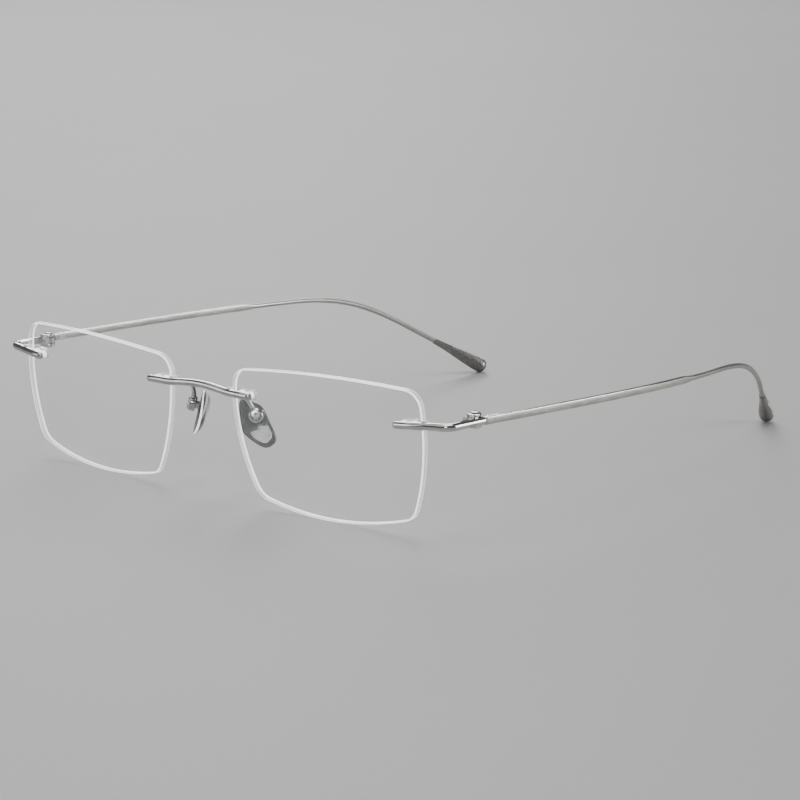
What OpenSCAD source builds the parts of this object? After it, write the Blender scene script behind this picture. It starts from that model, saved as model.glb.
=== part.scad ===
// Rimless eyeglasses: two lenses drilled for pins, a bridge and two end pieces that carry
// them, hinged flat temples that run out into round wire, ribbed tips and rocking nose pads.
// +X is the wearer's left, +Y points back along the temples, +Z is up.
// The lens bottoms and both tips stand on z = 0.

/* [Lenses] */
// Width of a lens between its upper corners
lens_top_w = 52.8; // [46:0.2:60]
// Height of a lens between its upper and lower corners
lens_h = 28; // [24:0.2:34]
// How far the lower nasal corner is drawn in
nasal_draw = 5.7; // [3:0.1:7]
// How far the lower temporal corner is drawn in
temporal_draw = 3.2; // [1:0.1:5]
// Rise of the top edge at its middle
top_arch = 1.5; // [0.8:0.1:2.5]
// Drop of the bottom edge at its middle
bottom_arch = 2.8; // [1.5:0.1:3.5]
// Swell of the two side edges
side_arch = 2.3; // [1.5:0.1:2.8]
// Radius of the upper corners
upper_corner_r = 4.5; // [3:0.1:6]
// Radius of the lower corners
lower_corner_r = 4.8; // [3:0.1:6]
// Turn of the outline, with its temporal side up
lens_roll = 1.5; // [0:0.1:3]
// Thickness of a lens
lens_t = 1.5; // [1.4:0.1:2.4]
// Radius of a lens's front surface
lens_curve_r = 200; // [120:5:400]
// Narrowest gap between the two lenses
lens_gap = 19.5; // [17:0.1:23]
// Turn of each lens towards its temple
face_wrap = 3.7; // [0:0.1:6]
// Forward lean of the lens tops
lean = 3.4; // [0:0.1:8]

/* [Bars] */
// Height of the bridge and of the end pieces
bar_h = 1.7; // [1.4:0.1:2.4]
// Depth of the bridge and of the end pieces
bar_d = 1.3; // [1:0.1:1.8]
// How far the bars lie below the lens tops
mount_drop = 7.6; // [6:0.1:10]
// Length of end piece that lies on a lens
end_overlap = 7.2; // [6:0.1:9]
// Length of bridge that lies on a lens
bridge_overlap = 6.9; // [6:0.1:9]
// Rise of the bridge at its middle
bridge_rise = 0.7; // [0:0.1:2]
// How far an end piece reaches sideways past its lens
end_reach = 6.6; // [5:0.1:9]
// Length of an end piece from its corner back to the hinge
end_return = 10.9; // [8:0.1:13]
// How far an end piece's pins lie below its corner
end_dip = 0.5; // [0:0.1:1]
// Centreline radius of an end piece's bend
end_bend_r = 3; // [2.2:0.1:4]

/* [Mount pins] */
// Radius of a mount pin
pin_r = 0.45; // [0.4:0.05:0.6]
// Distance from a bar's inner end to its first pin
pin_inset = 1.9; // [1.6:0.1:2.4]
// Distance between a mount's two pins
pin_pitch = 2.7; // [2.4:0.1:3]
// Wall of the plastic sleeves in the lens holes
sleeve_wall = 0.3; // [0.2:0.05:0.35]
// Thickness of the plastic plate behind the lens
sleeve_plate_t = 0.5; // [0.4:0.05:0.8]
// How far a pin stands out behind that plate
pin_tail = 0.35; // [0.2:0.05:0.6]

/* [Hinges] */
// Radius of the hinge knuckles
knuckle_r = 1.3; // [1.1:0.05:1.6]
// Height of the whole hinge barrel
barrel_h = 3; // [2.9:0.1:4.2]
// Height of the temple's middle knuckle
middle_h = 1.1; // [1:0.1:1.4]
// Thickness of the washers between the knuckles
washer_t = 0.2; // [0.15:0.05:0.3]
// Radius of the hinge screw
screw_r = 0.5; // [0.4:0.05:0.6]
// Radius of the hinge screw's head
screw_head_r = 0.95; // [0.8:0.05:1]
// Height of the hinge screw's head
screw_head_h = 0.3; // [0.3:0.05:0.6]
// Length of the hinge leaf along the temple
leaf_l = 5.2; // [4.5:0.1:6]
// Thickness of the hinge leaf
leaf_t = 0.8; // [0.6:0.05:1]
// Radius of the rivet through leaf and temple
rivet_r = 0.4; // [0.3:0.05:0.5]
// Distance of the rivet behind the temple's front end
rivet_y = 2.4; // [2:0.1:3]

/* [Temples] */
// Length of a temple from its front end to the end of its tip
temple_l = 142; // [135:1:150]
// Height of a temple's flat stretch at the front
temple_h = 1.7; // [1.4:0.1:2.4]
// Thickness of a temple's flat stretch
temple_t = 0.9; // [0.8:0.05:1.2]
// Radius of the round wire behind the flat stretch
wire_r = 0.6; // [0.5:0.05:0.75]
// Length of the flat stretch
flat_l = 66; // [55:1:75]
// Outward turn of the temple at its front end
splay = 2.6; // [0:0.1:4]
// Inward turn of the temple's tail
turn_in = 31; // [20:1:35]
// Downward bend behind the ear
ear_bend = 29; // [22:1:34]
// Where the downward bend begins along the temple
bend_start = 80; // [74:1:86]
// Length over which the downward bend is spread
bend_l = 38; // [30:1:44]

/* [Tips] */
// Length of a tip
tip_l = 16.5; // [14:0.5:22]
// Radius of a tip at its mouth
tip_mouth_r = 0.8; // [0.75:0.05:1.1]
// Radius of a tip at its thick end
tip_r = 1.9; // [1.6:0.05:2.4]
// Depth of a tip's socket for the wire
socket_l = 8; // [6:0.5:12]
// Number of ribs cut round a tip
tip_ribs = 14; // [6:1:16]

/* [Nose pads] */
// Length of a nose pad
pad_l = 12.4; // [11:0.1:15]
// Width of a nose pad
pad_w = 7.2; // [7:0.1:9]
// Thickness of a nose pad at its middle
pad_t = 2; // [1.8:0.1:2.4]
// Radius of a pad's bearing face along its length
pad_curve_r = 17; // [14:1:24]
// Distance of a pad box from the middle plane
box_x = 9.7; // [9:0.1:11]
// Distance of a pad box behind the bar
box_back = 7.5; // [6.8:0.1:10]
// Drop of a pad box below the bar
box_drop = 6.4; // [5:0.1:8]
// Turn of a pad towards the back
pad_splay = 40; // [30:1:45]
// Sideways slope of a pad, with its lower end outwards
pad_slope = 17; // [10:1:25]
// Turn of a pad in its own face, with its top forwards
pad_roll = 22; // [0:1:30]
// How far a pad's middle hangs below its box
pad_hang = 1.6; // [0:0.1:2.5]
// Radius of the round pad box
box_r = 1.7; // [1.6:0.05:2]
// Depth of the round pad box
box_d = 1.9; // [1.8:0.1:2.4]
// Radius of the pad screw
pad_screw_r = 0.35; // [0.3:0.05:0.4]
// Radius of the pad arm's wire
arm_r = 0.5; // [0.4:0.05:0.6]

/* [Clearances] */
// Gap between a bar and the lens it lies on
seat_gap = 0.05; // [0.03:0.01:0.1]
// Radial clearance of pins, screws and sleeves that stand still
still_fit = 0.02; // [0.01:0.01:0.04]
// Radial and axial clearance of what turns
running_fit = 0.05; // [0.03:0.01:0.08]
// Gap between the end piece and the open temple
stop_gap = 0.1; // [0.05:0.01:0.2]

/* [Hidden] */
$fn = 48;
// How far a cutting shape stands out past what it cuts, and how far joined shapes lap
past = 1;
lap = 0.1;

// ---- lens outline in the lens's own plane, [sideways, up], temporal side positive ----

function unit(v) = v / norm(v);
function bearing(v) = atan2(v[1], v[0]);

// Centre and radius of the large arc from p to q that swells by s to the left of p to q
function arc_radius(p, q, s) = (pow(norm(q - p), 2) / 4 + s * s) / (2 * s);
function arc_centre(p, q, s) =
    let(d = unit(q - p), left = [-d[1], d[0]])
    (p + q) / 2 - left * (arc_radius(p, q, s) - s);

// Where circles (a, ra) and (b, rb) meet, on the side nearer to point n
function circles_meet(a, ra, b, rb, n) =
    let(d = norm(b - a), e = unit(b - a), along = (d * d + ra * ra - rb * rb) / (2 * d),
        off = sqrt(ra * ra - along * along), side = [-e[1], e[0]],
        p = a + e * along + side * off, q = a + e * along - side * off)
    norm(p - n) < norm(q - n) ? p : q;

half_top = lens_top_w / 2;
half_h = lens_h / 2;
corners = [[-half_top, half_h], [half_top, half_h],
           [half_top - temporal_draw, -half_h], [-half_top + nasal_draw, -half_h]];
swells = [top_arch, side_arch, bottom_arch, side_arch];
corner_radii = [upper_corner_r, upper_corner_r, lower_corner_r, lower_corner_r];
edge_r = [for (i = [0:3]) arc_radius(corners[i], corners[(i + 1) % 4], swells[i])];
edge_c = [for (i = [0:3]) arc_centre(corners[i], corners[(i + 1) % 4], swells[i])];
fillet_c = [for (i = [0:3]) let(j = (i + 3) % 4, r = corner_radii[i])
    circles_meet(edge_c[j], edge_r[j] - r, edge_c[i], edge_r[i] - r, corners[i])];

corner_steps = 8;
edge_steps = 10;
// Angles fall as the outline runs clockwise; turned() keeps each arc the short way round
function turned(from, to) = to > from ? to - 360 : to;
function arc_points(c, r, from, to, n) =
    let(end = turned(from, to))
    [for (k = [0:n - 1]) let(t = from + (end - from) * k / n) c + r * [cos(t), sin(t)]];

flat_outline = [for (i = [0:3])
    let(j = (i + 3) % 4, k = (i + 1) % 4,
        a0 = bearing(fillet_c[i] - edge_c[j]), a1 = bearing(fillet_c[i] - edge_c[i]),
        a2 = bearing(fillet_c[k] - edge_c[i]))
    each concat(arc_points(fillet_c[i], corner_radii[i], a0, a1, corner_steps),
                arc_points(edge_c[i], edge_r[i], a1, a2, edge_steps))];

function rolled(p) = [p[0] * cos(lens_roll) - p[1] * sin(lens_roll),
                      p[0] * sin(lens_roll) + p[1] * cos(lens_roll)];
outline = [for (p = flat_outline) rolled(p)];

// Sideways place of the nasal or temporal edge at a height in the lens's plane
function edge_at(i, height) =
    let(c = rolled(edge_c[i]), reach = sqrt(pow(edge_r[i], 2) - pow(height - c[1], 2)))
    c[0] + (i == 1 ? reach : -reach);

// ---- the lens in the frame of the whole front, before it is moved to its place ----

function sag(u, v) = lens_curve_r - sqrt(lens_curve_r * lens_curve_r - u * u - v * v);
function leaned(p) = [p[0], p[1] * cos(lean) - p[2] * sin(lean), p[1] * sin(lean) + p[2] * cos(lean)];
function wrapped(p) = [p[0] * cos(face_wrap) - p[1] * sin(face_wrap),
                       p[0] * sin(face_wrap) + p[1] * cos(face_wrap), p[2]];
function on_front(u, v) = wrapped(leaned([u, sag(u, v), v]));
function on_back(u, v) = wrapped(leaned([u, sag(u, v) + lens_t, v]));

lens_z = -min([for (p = outline) min(on_front(p[0], p[1])[2], on_back(p[0], p[1])[2])]);
lens_top_z = lens_z + max([for (p = outline) on_front(p[0], p[1])[2]]);
lens_x = lens_gap / 2 - min([for (p = outline) min(on_front(p[0], p[1])[0], on_back(p[0], p[1])[0])]);
mount_z = lens_top_z - mount_drop;
nasal_v = (mount_z - lens_z) / cos(lean);
temporal_v = (mount_z - end_dip - lens_z) / cos(lean);

nasal_u = edge_at(3, nasal_v);
temporal_u = edge_at(1, temporal_v);
// Middle of the two pins of each mount, and the turn of the lens surface there
function mount_from_edge(overlap) = overlap - pin_inset - pin_pitch / 2;
temporal_mount_u = temporal_u - mount_from_edge(end_overlap);
nasal_mount_u = nasal_u + mount_from_edge(bridge_overlap);
function surface_turn(u) = face_wrap + asin(u / lens_curve_r);
temporal_turn = surface_turn(temporal_mount_u);
nasal_turn = surface_turn(nasal_mount_u);
temporal_mount = on_front(temporal_mount_u, temporal_v) + [lens_x, 0, lens_z];
nasal_mount = on_front(nasal_mount_u, nasal_v) + [lens_x, 0, lens_z];

// ---- end piece: a straight leg on the lens, a bend and a leg back to the hinge ----

function along(p, turn, x, y) = [p[0] + x * cos(turn) - y * sin(turn),
                                 p[1] + x * sin(turn) + y * cos(turn), p[2]];
bar_axis_y = -seat_gap - bar_d / 2;
temporal_edge_x = mount_from_edge(end_overlap);
end_start_x = -pin_pitch / 2 - pin_inset;
end_corner_x = temporal_edge_x + end_reach;
end_corner = along(temporal_mount, temporal_turn, end_corner_x, bar_axis_y) + [0, 0, end_dip];
bend_angle = 90 - splay - temporal_turn;
bend_trim = end_bend_r * tan(bend_angle / 2);
bend_start_x = end_corner_x - bend_trim;
end_tilt = asin(end_dip / bend_start_x);
// The hinge frame: origin on the temple's centreline at its front end, +Y along the temple
seam = along(end_corner, -splay, 0, end_return);

// ---- temple centreline: yaw and pitch grow along its length ----

path_steps = 60;
path_d = temple_l / path_steps;
turn_power = 2.5;
turn_end = bend_start + bend_l;
function smooth(t) = let(c = min(1, max(0, t))) c * c * (3 - 2 * c);
function yaw_at(s) = (turn_in + splay) * pow(min(s, turn_end) / turn_end, turn_power);
function pitch_at(s) = ear_bend * smooth((s - bend_start) / bend_l);
function heading(s) = [-sin(yaw_at(s)) * cos(pitch_at(s)), cos(yaw_at(s)) * cos(pitch_at(s)),
                       -sin(pitch_at(s))];
// Running sum of the short steps, so each point stands on the last
raw_path = [for (i = 0, p = [0, 0, 0]; i <= path_steps;
                 p = p + path_d * heading((i + 0.5) * path_d), i = i + 1) p];
// The whole temple is pitched at the hinge until its tip stands on z = 0
tip_centre = raw_path[path_steps] - unit(heading(temple_l)) * tip_r;
rest_pitch = asin((mount_z - tip_r) / norm([tip_centre[1], tip_centre[2]]))
             - atan2(-tip_centre[2], tip_centre[1]);
function pitched(p) = [p[0], p[1] * cos(rest_pitch) + p[2] * sin(rest_pitch),
                       p[2] * cos(rest_pitch) - p[1] * sin(rest_pitch)];
path = [for (p = raw_path) pitched(p)];

// Front of the bridge and back of the tips set the middle of the depth
bridge_front_y = nasal_mount[1] - seat_gap - bar_d;
tips_back_y = seam[1] + path[path_steps][1];
front_y = -(bridge_front_y + tips_back_y) / 2;

// ---- hinge ----

axis_x = -max(bar_d, temple_t) / 2 - knuckle_r - running_fit;
axis_y = -knuckle_r / 2;
washer_gap = washer_t + running_fit;
outer_knuckle_h = (barrel_h - middle_h) / 2 - washer_gap;

// ---- nose pads ----

box_z = mount_z - box_drop;
box_y = nasal_mount[1] + box_back;
pad_axis_depth = 0.95;
slot_w = 1.4;
slot_l = 2.4;
slot_floor = 0.25;
box_corner_r = 0.7;
lug_w = slot_w - 4 * running_fit;
lug_r = 0.65;
pad_screw_head_r = 0.6;
pad_screw_head_h = 0.3;
plate_r = 1.5;
plate_t = 0.5;
plate_gap = 0.9;
pad_back_x = plate_gap + lap;
pad_back_r = 2 * pad_curve_r;
pad_facets = 96;
// Outline as shares of the pad's width and length: one side nearly straight, the other bulged
pad_shape = [[-0.12, 0.39], [-0.28, 0.31], [-0.34, 0.23], [-0.36, 0.13], [-0.36, -0.07], [-0.36, -0.27],
             [-0.34, -0.38], [-0.25, -0.44], [-0.10, -0.475], [0.06, -0.475], [0.18, -0.435], [0.29, -0.355],
             [0.43, -0.22], [0.54, -0.08], [0.57, 0.03], [0.54, 0.16], [0.47, 0.27], [0.37, 0.39],
             [0.28, 0.48], [0.19, 0.52], [0.09, 0.52], [-0.01, 0.47]];
// Where the pad arm leaves the bridge, and the pulls on its curve at its two ends
arm_root_x = 6.2;
arm_root_drop = 0.2;
arm_leave = [0.2, 3.6, 0.5];
arm_arrive = [-0.9, -0.7, 2.2];
arm_stub = 0.5;

// ======================= placing helpers =======================

module sided(left) {
    if (left) children();
    else mirror([1, 0, 0]) children();
}

module at_front() {
    translate([0, front_y, 0]) children();
}

module at_lens() {
    at_front() translate([lens_x, 0, lens_z]) rotate([0, 0, face_wrap]) rotate([lean, 0, 0]) children();
}

// Origin on the lens's front between the two pins, +X outwards along the bar
module at_mount(place, turn, tilt = 0) {
    at_front() translate(place) rotate([0, 0, turn]) rotate([0, -tilt, 0]) children();
}

// Origin at the seam between end piece and temple, +Y along the temple
module at_hinge() {
    at_front() translate(seam) rotate([0, 0, -splay]) children();
}

// Origin on the hinge's axis, at the middle of the barrel
module at_barrel() {
    at_hinge() translate([axis_x, axis_y, 0]) children();
}

// Origin at the mouth of the pad box, +X towards the nose, +Z up along the pad
module at_pad() {
    at_front() translate([box_x, box_y, box_z]) rotate([0, 0, 180 - pad_splay])
        rotate([-pad_roll, pad_slope, 0]) children();
}

// Children stand at both pins of a mount and point along the pins
module at_pins() {
    for (x = [-pin_pitch / 2, pin_pitch / 2])
        translate([x, 0, 0]) rotate([-90, 0, 0]) children();
}

// ======================= shared shapes =======================

// Two mount pins, from inside the bar to behind the plastic plate
module mount_pins() {
    back = lens_t + seat_gap + sleeve_plate_t + pin_tail;
    translate([0, bar_axis_y, 0]) at_pins() cylinder(r = pin_r, h = back - bar_axis_y);
}

// Lug that stands against the lens's edge; side is +1 where the edge is on the +X side
module edge_lug(edge_x, side, mount_u) {
    edge_lean = lens_t * abs(mount_u) / lens_curve_r;
    edge_lug_l = 0.9;
    edge_lug_h = 0.8 * bar_h;
    short_of_back = 0.2;
    near = edge_x + side * (edge_lean + 2 * seat_gap + edge_lug_l / 2);
    translate([near - edge_lug_l / 2, bar_axis_y, -edge_lug_h / 2])
        cube([edge_lug_l, lens_t - bar_axis_y - short_of_back, edge_lug_h]);
}

// Rings of points joined into one closed solid
module skin(rings) {
    n = len(rings[0]);
    m = len(rings);
    points = [for (ring = rings) each ring];
    sides = [for (i = [0:m - 2]) for (j = [0:n - 1]) let(k = (j + 1) % n)
        each [[i * n + j, (i + 1) * n + k, i * n + k], [i * n + j, (i + 1) * n + j, (i + 1) * n + k]]];
    caps = [[for (j = [0:n - 1]) j], [for (j = [n - 1:-1:0]) (m - 1) * n + j]];
    polyhedron(points, concat(sides, caps), convexity = 6);
}

// A section point [sideways, up] set square to a heading at a place
function right_of(d) = unit([d[1], -d[0], 0]);
function set_square(place, d, q) =
    place + q[0] * right_of(d) + q[1] * cross(right_of(d), d);

function bezier(p, t) = pow(1 - t, 3) * p[0] + 3 * pow(1 - t, 2) * t * p[1]
                        + 3 * (1 - t) * t * t * p[2] + pow(t, 3) * p[3];
function bezier_heading(p, t) = unit(pow(1 - t, 2) * (p[1] - p[0])
    + 2 * (1 - t) * t * (p[2] - p[1]) + t * t * (p[3] - p[2]));

// D-shaped ring of a bar: its flat is on the side away from the viewer
round_points = 11;
function bar_ring(place, d, size) =
    let(r = bar_h / 2, flat_x = bar_d / 2, mid_x = flat_x - (bar_d - r))
    [each [for (k = [0:round_points - 1]) let(a = -90 - 180 * k / (round_points - 1))
        set_square(place, d, [flat_x + size * (mid_x + r * cos(a) - flat_x), size * r * sin(a)])],
     each [for (z = [r, -r]) set_square(place, d, [flat_x, size * z])]];

// Stops [place, heading, size] that round off a bar, from its end point along a direction
dome_steps = 5;
dome_first = 0.3;
function bar_dome(end, along_bar, heading) =
    [for (k = [0:dome_steps - 1]) let(q = sin(90 * (k + dome_first) / dome_steps))
        [end + along_bar * (1 - sqrt(1 - q * q)) * bar_h / 2, heading, q]];

// Half-round bar through its stops
module bar(stops) {
    skin([for (s = stops) bar_ring(s[0], s[1], s[2])]);
}

// ======================= lenses and their sleeves =======================

sleeve_r = pin_r + still_fit + sleeve_wall;
sleeve_plate_rim = 0.35;
lens_facets = 200;
lens_block_l = 25;

module lens(left) {
    color("azure", 0.4) sided(left) difference() {
        at_lens() intersection() {
            rotate([90, 0, 0]) linear_extrude(2 * lens_block_l, center = true) polygon(outline);
            translate([0, lens_curve_r, 0]) difference() {
                sphere(lens_curve_r, $fn = lens_facets);
                sphere(lens_curve_r - lens_t, $fn = lens_facets);
            }
        }
        at_mount(nasal_mount, nasal_turn) at_pins() sleeve_hole();
        at_mount(temporal_mount, temporal_turn, end_tilt) at_pins() sleeve_hole();
    }
}

module sleeve_hole() {
    translate([0, 0, -past]) cylinder(r = sleeve_r + still_fit, h = lens_t + 2 * past);
}

// Two tubes in the lens holes and the plate that joins them behind the lens
module sleeve(left, place, turn, tilt = 0) {
    plate_y = lens_t + seat_gap;
    plate_edge_r = sleeve_r + sleeve_plate_rim;
    color("whitesmoke", 0.6) sided(left) at_mount(place, turn, tilt) difference() {
        union() {
            translate([0, 2 * seat_gap, 0]) at_pins() cylinder(r = sleeve_r, h = plate_y);
            translate([0, plate_y, 0]) at_pins() cylinder(r = plate_edge_r, h = sleeve_plate_t);
            translate([-pin_pitch / 2, plate_y, -plate_edge_r])
                cube([pin_pitch, sleeve_plate_t, 2 * plate_edge_r]);
        }
        translate([0, -past, 0]) at_pins()
            cylinder(r = pin_r + still_fit, h = plate_y + sleeve_plate_t + 2 * past);
    }
}

// ======================= bridge =======================

// The bar's path: straight on each lens, arched over the nose between them
function across(p) = [-p[0], p[1], p[2]];
bridge_straight = 0.91 * bridge_overlap;
bridge_pull = 0.45;
bridge_end = along(nasal_mount, nasal_turn, pin_inset + pin_pitch / 2, bar_axis_y);
bridge_root = along(bridge_end, nasal_turn, -bridge_straight, 0);
bridge_reach = bridge_pull * bridge_root[0];
bridge_curve = [bridge_root, along(bridge_root, nasal_turn, -bridge_reach, 0),
                across(along(bridge_root, nasal_turn, -bridge_reach, 0)), across(bridge_root)];
arch_steps = 20;

module bridge() {
    inward = [-cos(nasal_turn), -sin(nasal_turn), 0];
    dome = bar_dome(bridge_end, inward, inward);
    arch = [for (k = [0:arch_steps]) let(t = k / arch_steps, rise = bridge_rise * pow(sin(180 * t), 2))
        [bezier(bridge_curve, t) + [0, 0, rise], bezier_heading(bridge_curve, t), 1]];
    tail = [for (k = [dome_steps - 1:-1:0])
        [across(dome[k][0]), [inward[0], -inward[1], 0], dome[k][2]]];
    color("silver") at_front() bar(concat(dome, arch, tail));
    for (left = [true, false]) color("silver") sided(left) at_mount(nasal_mount, nasal_turn) {
        mount_pins();
        edge_lug(-mount_from_edge(bridge_overlap), -1, nasal_mount_u);
    }
}

// ======================= end pieces =======================

hinge_block_l = 1.2;
hinge_block_lap = 0.2;

// Its stops run from the hinge round the bend and along the lens to the domed end
bend_steps = 12;
function end_leg(x) = along(temporal_mount, temporal_turn, x * cos(end_tilt), bar_axis_y)
                      + [0, 0, x * sin(end_tilt)];
function turned_right(d, a) = [d[0] * cos(a) + d[1] * sin(a), d[1] * cos(a) - d[0] * sin(a), 0];

module end_piece(left) {
    forward = [-sin(splay), -cos(splay), 0];
    inward = unit(end_leg(0) - end_leg(1));
    bend_centre = end_corner - forward * bend_trim + right_of(forward) * end_bend_r;
    bend = [for (k = [0:bend_steps - 1]) let(d = turned_right(forward, bend_angle * k / bend_steps))
        [bend_centre - end_bend_r * right_of(d), d, 1]];
    dome = bar_dome(end_leg(end_start_x), -inward, inward);
    leg = [[end_leg(bend_start_x), inward, 1], each [for (k = [dome_steps - 1:-1:0]) dome[k]]];
    color("silver") sided(left) difference() {
        union() {
            at_front() bar(concat([[seam + forward * stop_gap, forward, 1]], bend, leg));
            at_mount(temporal_mount, temporal_turn, end_tilt) {
                mount_pins();
                edge_lug(temporal_edge_x, 1, temporal_mount_u);
            }
            at_barrel() outer_knuckles();
        }
        at_barrel() cylinder(r = screw_r + still_fit, h = 2 * barrel_h, center = true);
    }
}

// Block on the end piece's inner face with an ear above and below the middle knuckle
module outer_knuckles() {
    block_y = -knuckle_r - hinge_block_l;
    to_bar = -axis_x - bar_d / 2 + hinge_block_lap;
    difference() {
        union() {
            translate([0, 0, -barrel_h / 2]) cylinder(r = knuckle_r, h = barrel_h);
            translate([-knuckle_r, block_y, -barrel_h / 2])
                cube([knuckle_r + to_bar, -block_y, barrel_h]);
        }
        cylinder(r = knuckle_r + running_fit, h = middle_h + 2 * washer_gap, center = true);
        translate([-knuckle_r - past, 0, -middle_h / 2 - washer_gap])
            cube([2 * knuckle_r + past, knuckle_r + past, middle_h + 2 * washer_gap]);
    }
}

// ======================= hinge screws, washers, leaves and rivets =======================

module hinge_screw(left) {
    slot_across = 0.24;
    slot_deep = 0.18;
    tail = 0.3;
    color("gainsboro") sided(left) at_barrel() {
        difference() {
            translate([0, 0, barrel_h / 2 + still_fit]) cylinder(r = screw_head_r, h = screw_head_h);
            translate([-screw_head_r, -slot_across / 2, barrel_h / 2 + still_fit + screw_head_h - slot_deep])
                cube([2 * screw_head_r, slot_across, past]);
        }
        translate([0, 0, -barrel_h / 2 - tail]) cylinder(r = screw_r, h = barrel_h + tail + 2 * still_fit);
    }
}

module hinge_washers(left) {
    color("dimgray") sided(left) at_barrel() for (side = [0, 1]) mirror([0, 0, side])
        translate([0, 0, middle_h / 2 + running_fit]) difference() {
            cylinder(r = knuckle_r - running_fit, h = washer_t);
            translate([0, 0, -past]) cylinder(r = screw_r + running_fit, h = washer_t + 2 * past);
        }
}

leaf_h = temple_h - 0.4;
leaf_x = -temple_t / 2 - leaf_t;
leaf_web_l = 0.9;

module hinge_leaf(left) {
    color("silver") sided(left) difference() {
        union() {
            at_barrel() cylinder(r = knuckle_r, h = middle_h, center = true);
            at_hinge() {
                translate([leaf_x, stop_gap / 2, -middle_h / 2]) cube([leaf_t, leaf_l, middle_h]);
                translate([leaf_x, knuckle_r, -leaf_h / 2]) cube([leaf_t, leaf_l - knuckle_r, leaf_h]);
                translate([axis_x, stop_gap / 2, -middle_h / 2])
                    cube([leaf_x - axis_x, leaf_web_l, middle_h]);
            }
        }
        at_barrel() cylinder(r = screw_r + running_fit, h = 2 * barrel_h, center = true);
        at_hinge() rivet_hole();
    }
}

module rivet_hole() {
    translate([0, rivet_y, 0]) rotate([0, 90, 0])
        cylinder(r = rivet_r + still_fit, h = 4 * (leaf_t + temple_t), center = true);
}

module hinge_rivet(left) {
    head_t = 0.25;
    head_rim = 0.25;
    color("gainsboro") sided(left) at_hinge() translate([leaf_x - head_t, rivet_y, 0]) rotate([0, 90, 0]) {
        cylinder(r = rivet_r + head_rim, h = head_t - still_fit);
        cylinder(r = rivet_r, h = head_t + leaf_t + temple_t);
    }
}

// ======================= temples =======================

// Section ring of the temple: a flat bar that runs out into round wire
ring_points = 16;
flat_power = 7;
blend_l = 5;
function rounded_power(c, power) = sign(c) * pow(abs(c), 2 / power);
function temple_ring(i) =
    let(s = i * path_d, b = smooth((s - flat_l) / blend_l), power = flat_power + (2 - flat_power) * b,
        half_t = temple_t / 2 + (wire_r - temple_t / 2) * b,
        half_z = temple_h / 2 + (wire_r - temple_h / 2) * b, d = pitched(heading(s)))
    [for (k = [0:ring_points - 1]) let(a = -360 * k / ring_points)
        set_square(path[i], d, [half_t * rounded_power(cos(a), power),
                                half_z * rounded_power(sin(a), power)])];
last_ring = floor((temple_l - tip_l + socket_l) / path_d);

module temple(left) {
    color("silver") sided(left) at_hinge() difference() {
        skin([for (i = [0:last_ring]) temple_ring(i)]);
        rivet_hole();
    }
}

// ======================= tips =======================

tip_heading = pitched(heading(temple_l));
tip_start = path[path_steps] - tip_heading * tip_l;

module temple_tip(left) {
    swell_l = tip_l - tip_r;
    rib_first = 0.35 * swell_l;
    rib_pitch = (swell_l - rib_first) / tip_ribs;
    rib_land = 0.6 * rib_pitch;
    rib_bottom = 0.8 * rib_pitch;
    rib_depth = 0.1;
    function tip_radius(s) = tip_mouth_r + (tip_r - tip_mouth_r) * smooth(s / swell_l);
    profile = concat(
        [[0, 0], [tip_mouth_r, 0]],
        [for (s = [1:1:rib_first]) [tip_radius(s), s]],
        [for (k = [0:tip_ribs - 1]) let(s = rib_first + k * rib_pitch)
            each [[tip_radius(s), s], [tip_radius(s + rib_land), s + rib_land],
                  [tip_radius(s) - rib_depth, s + rib_bottom]]],
        [for (a = [0:10:90]) [tip_r * cos(a), swell_l + tip_r * sin(a)]]);
    color("darkgray") sided(left) at_hinge() translate(tip_start)
        rotate([0, 0, atan2(-tip_heading[0], tip_heading[1])]) rotate([-90 + asin(tip_heading[2]), 0, 0])
            difference() {
                rotate_extrude() polygon(profile);
                translate([0, 0, -past]) cylinder(r = wire_r + still_fit, h = socket_l + past);
            }
}

// ======================= nose pads and their holders =======================

// Wire from the bridge's back down to the top of the pad box, with a short straight foot
module pad_arm(left) {
    t_root = 0.5 * (1 - arm_root_x / bridge_root[0]);
    root = bezier(bridge_curve, t_root)
           + [0, bar_d / 2 + 2 * seat_gap, bridge_rise * pow(sin(180 * t_root), 2) - arm_root_drop];
    out = [cos(pad_splay) * cos(pad_slope), -sin(pad_splay) * cos(pad_slope), sin(pad_slope)];
    lean_x = cos(pad_roll) * sin(pad_slope);
    up = [-cos(pad_splay) * lean_x - sin(pad_splay) * sin(pad_roll),
          sin(pad_splay) * lean_x - cos(pad_splay) * sin(pad_roll), cos(pad_roll) * cos(pad_slope)];
    foot = [box_x, box_y, box_z] + out * pad_axis_depth + up * (box_r + seat_gap);
    knee = foot + up * arm_stub;
    route = [root, root + arm_leave, knee + arm_arrive, knee];
    steps = 16;
    sides = 10;
    stops = concat(
        [for (i = [0:steps]) [bezier(route, i / steps), i == 0 ? [0, 1, 0] : bezier_heading(route, i / steps)]],
        [[foot, -up]]);
    color("silver") sided(left) at_front() skin([for (s = stops)
        [for (k = [0:sides - 1]) let(a = -360 * k / sides)
            set_square(s[0], s[1], arm_r * [cos(a), sin(a)])]]);
}

module pad_box(left) {
    color("silver") sided(left) at_pad() difference() {
        rotate([0, -90, 0]) rotate_extrude() polygon(concat([[0, 0], [box_r, 0]],
            [for (a = [0:15:90]) [box_r - box_corner_r + box_corner_r * cos(a),
                                  box_d - box_corner_r + box_corner_r * sin(a)]], [[0, box_d]]));
        translate([slot_floor - box_d, -slot_w / 2, -slot_l / 2]) cube([box_d, slot_w, slot_l]);
        translate([-pad_axis_depth, 0, 0]) rotate([90, 0, 0])
            cylinder(r = pad_screw_r + still_fit, h = 4 * box_r, center = true);
    }
}

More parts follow.
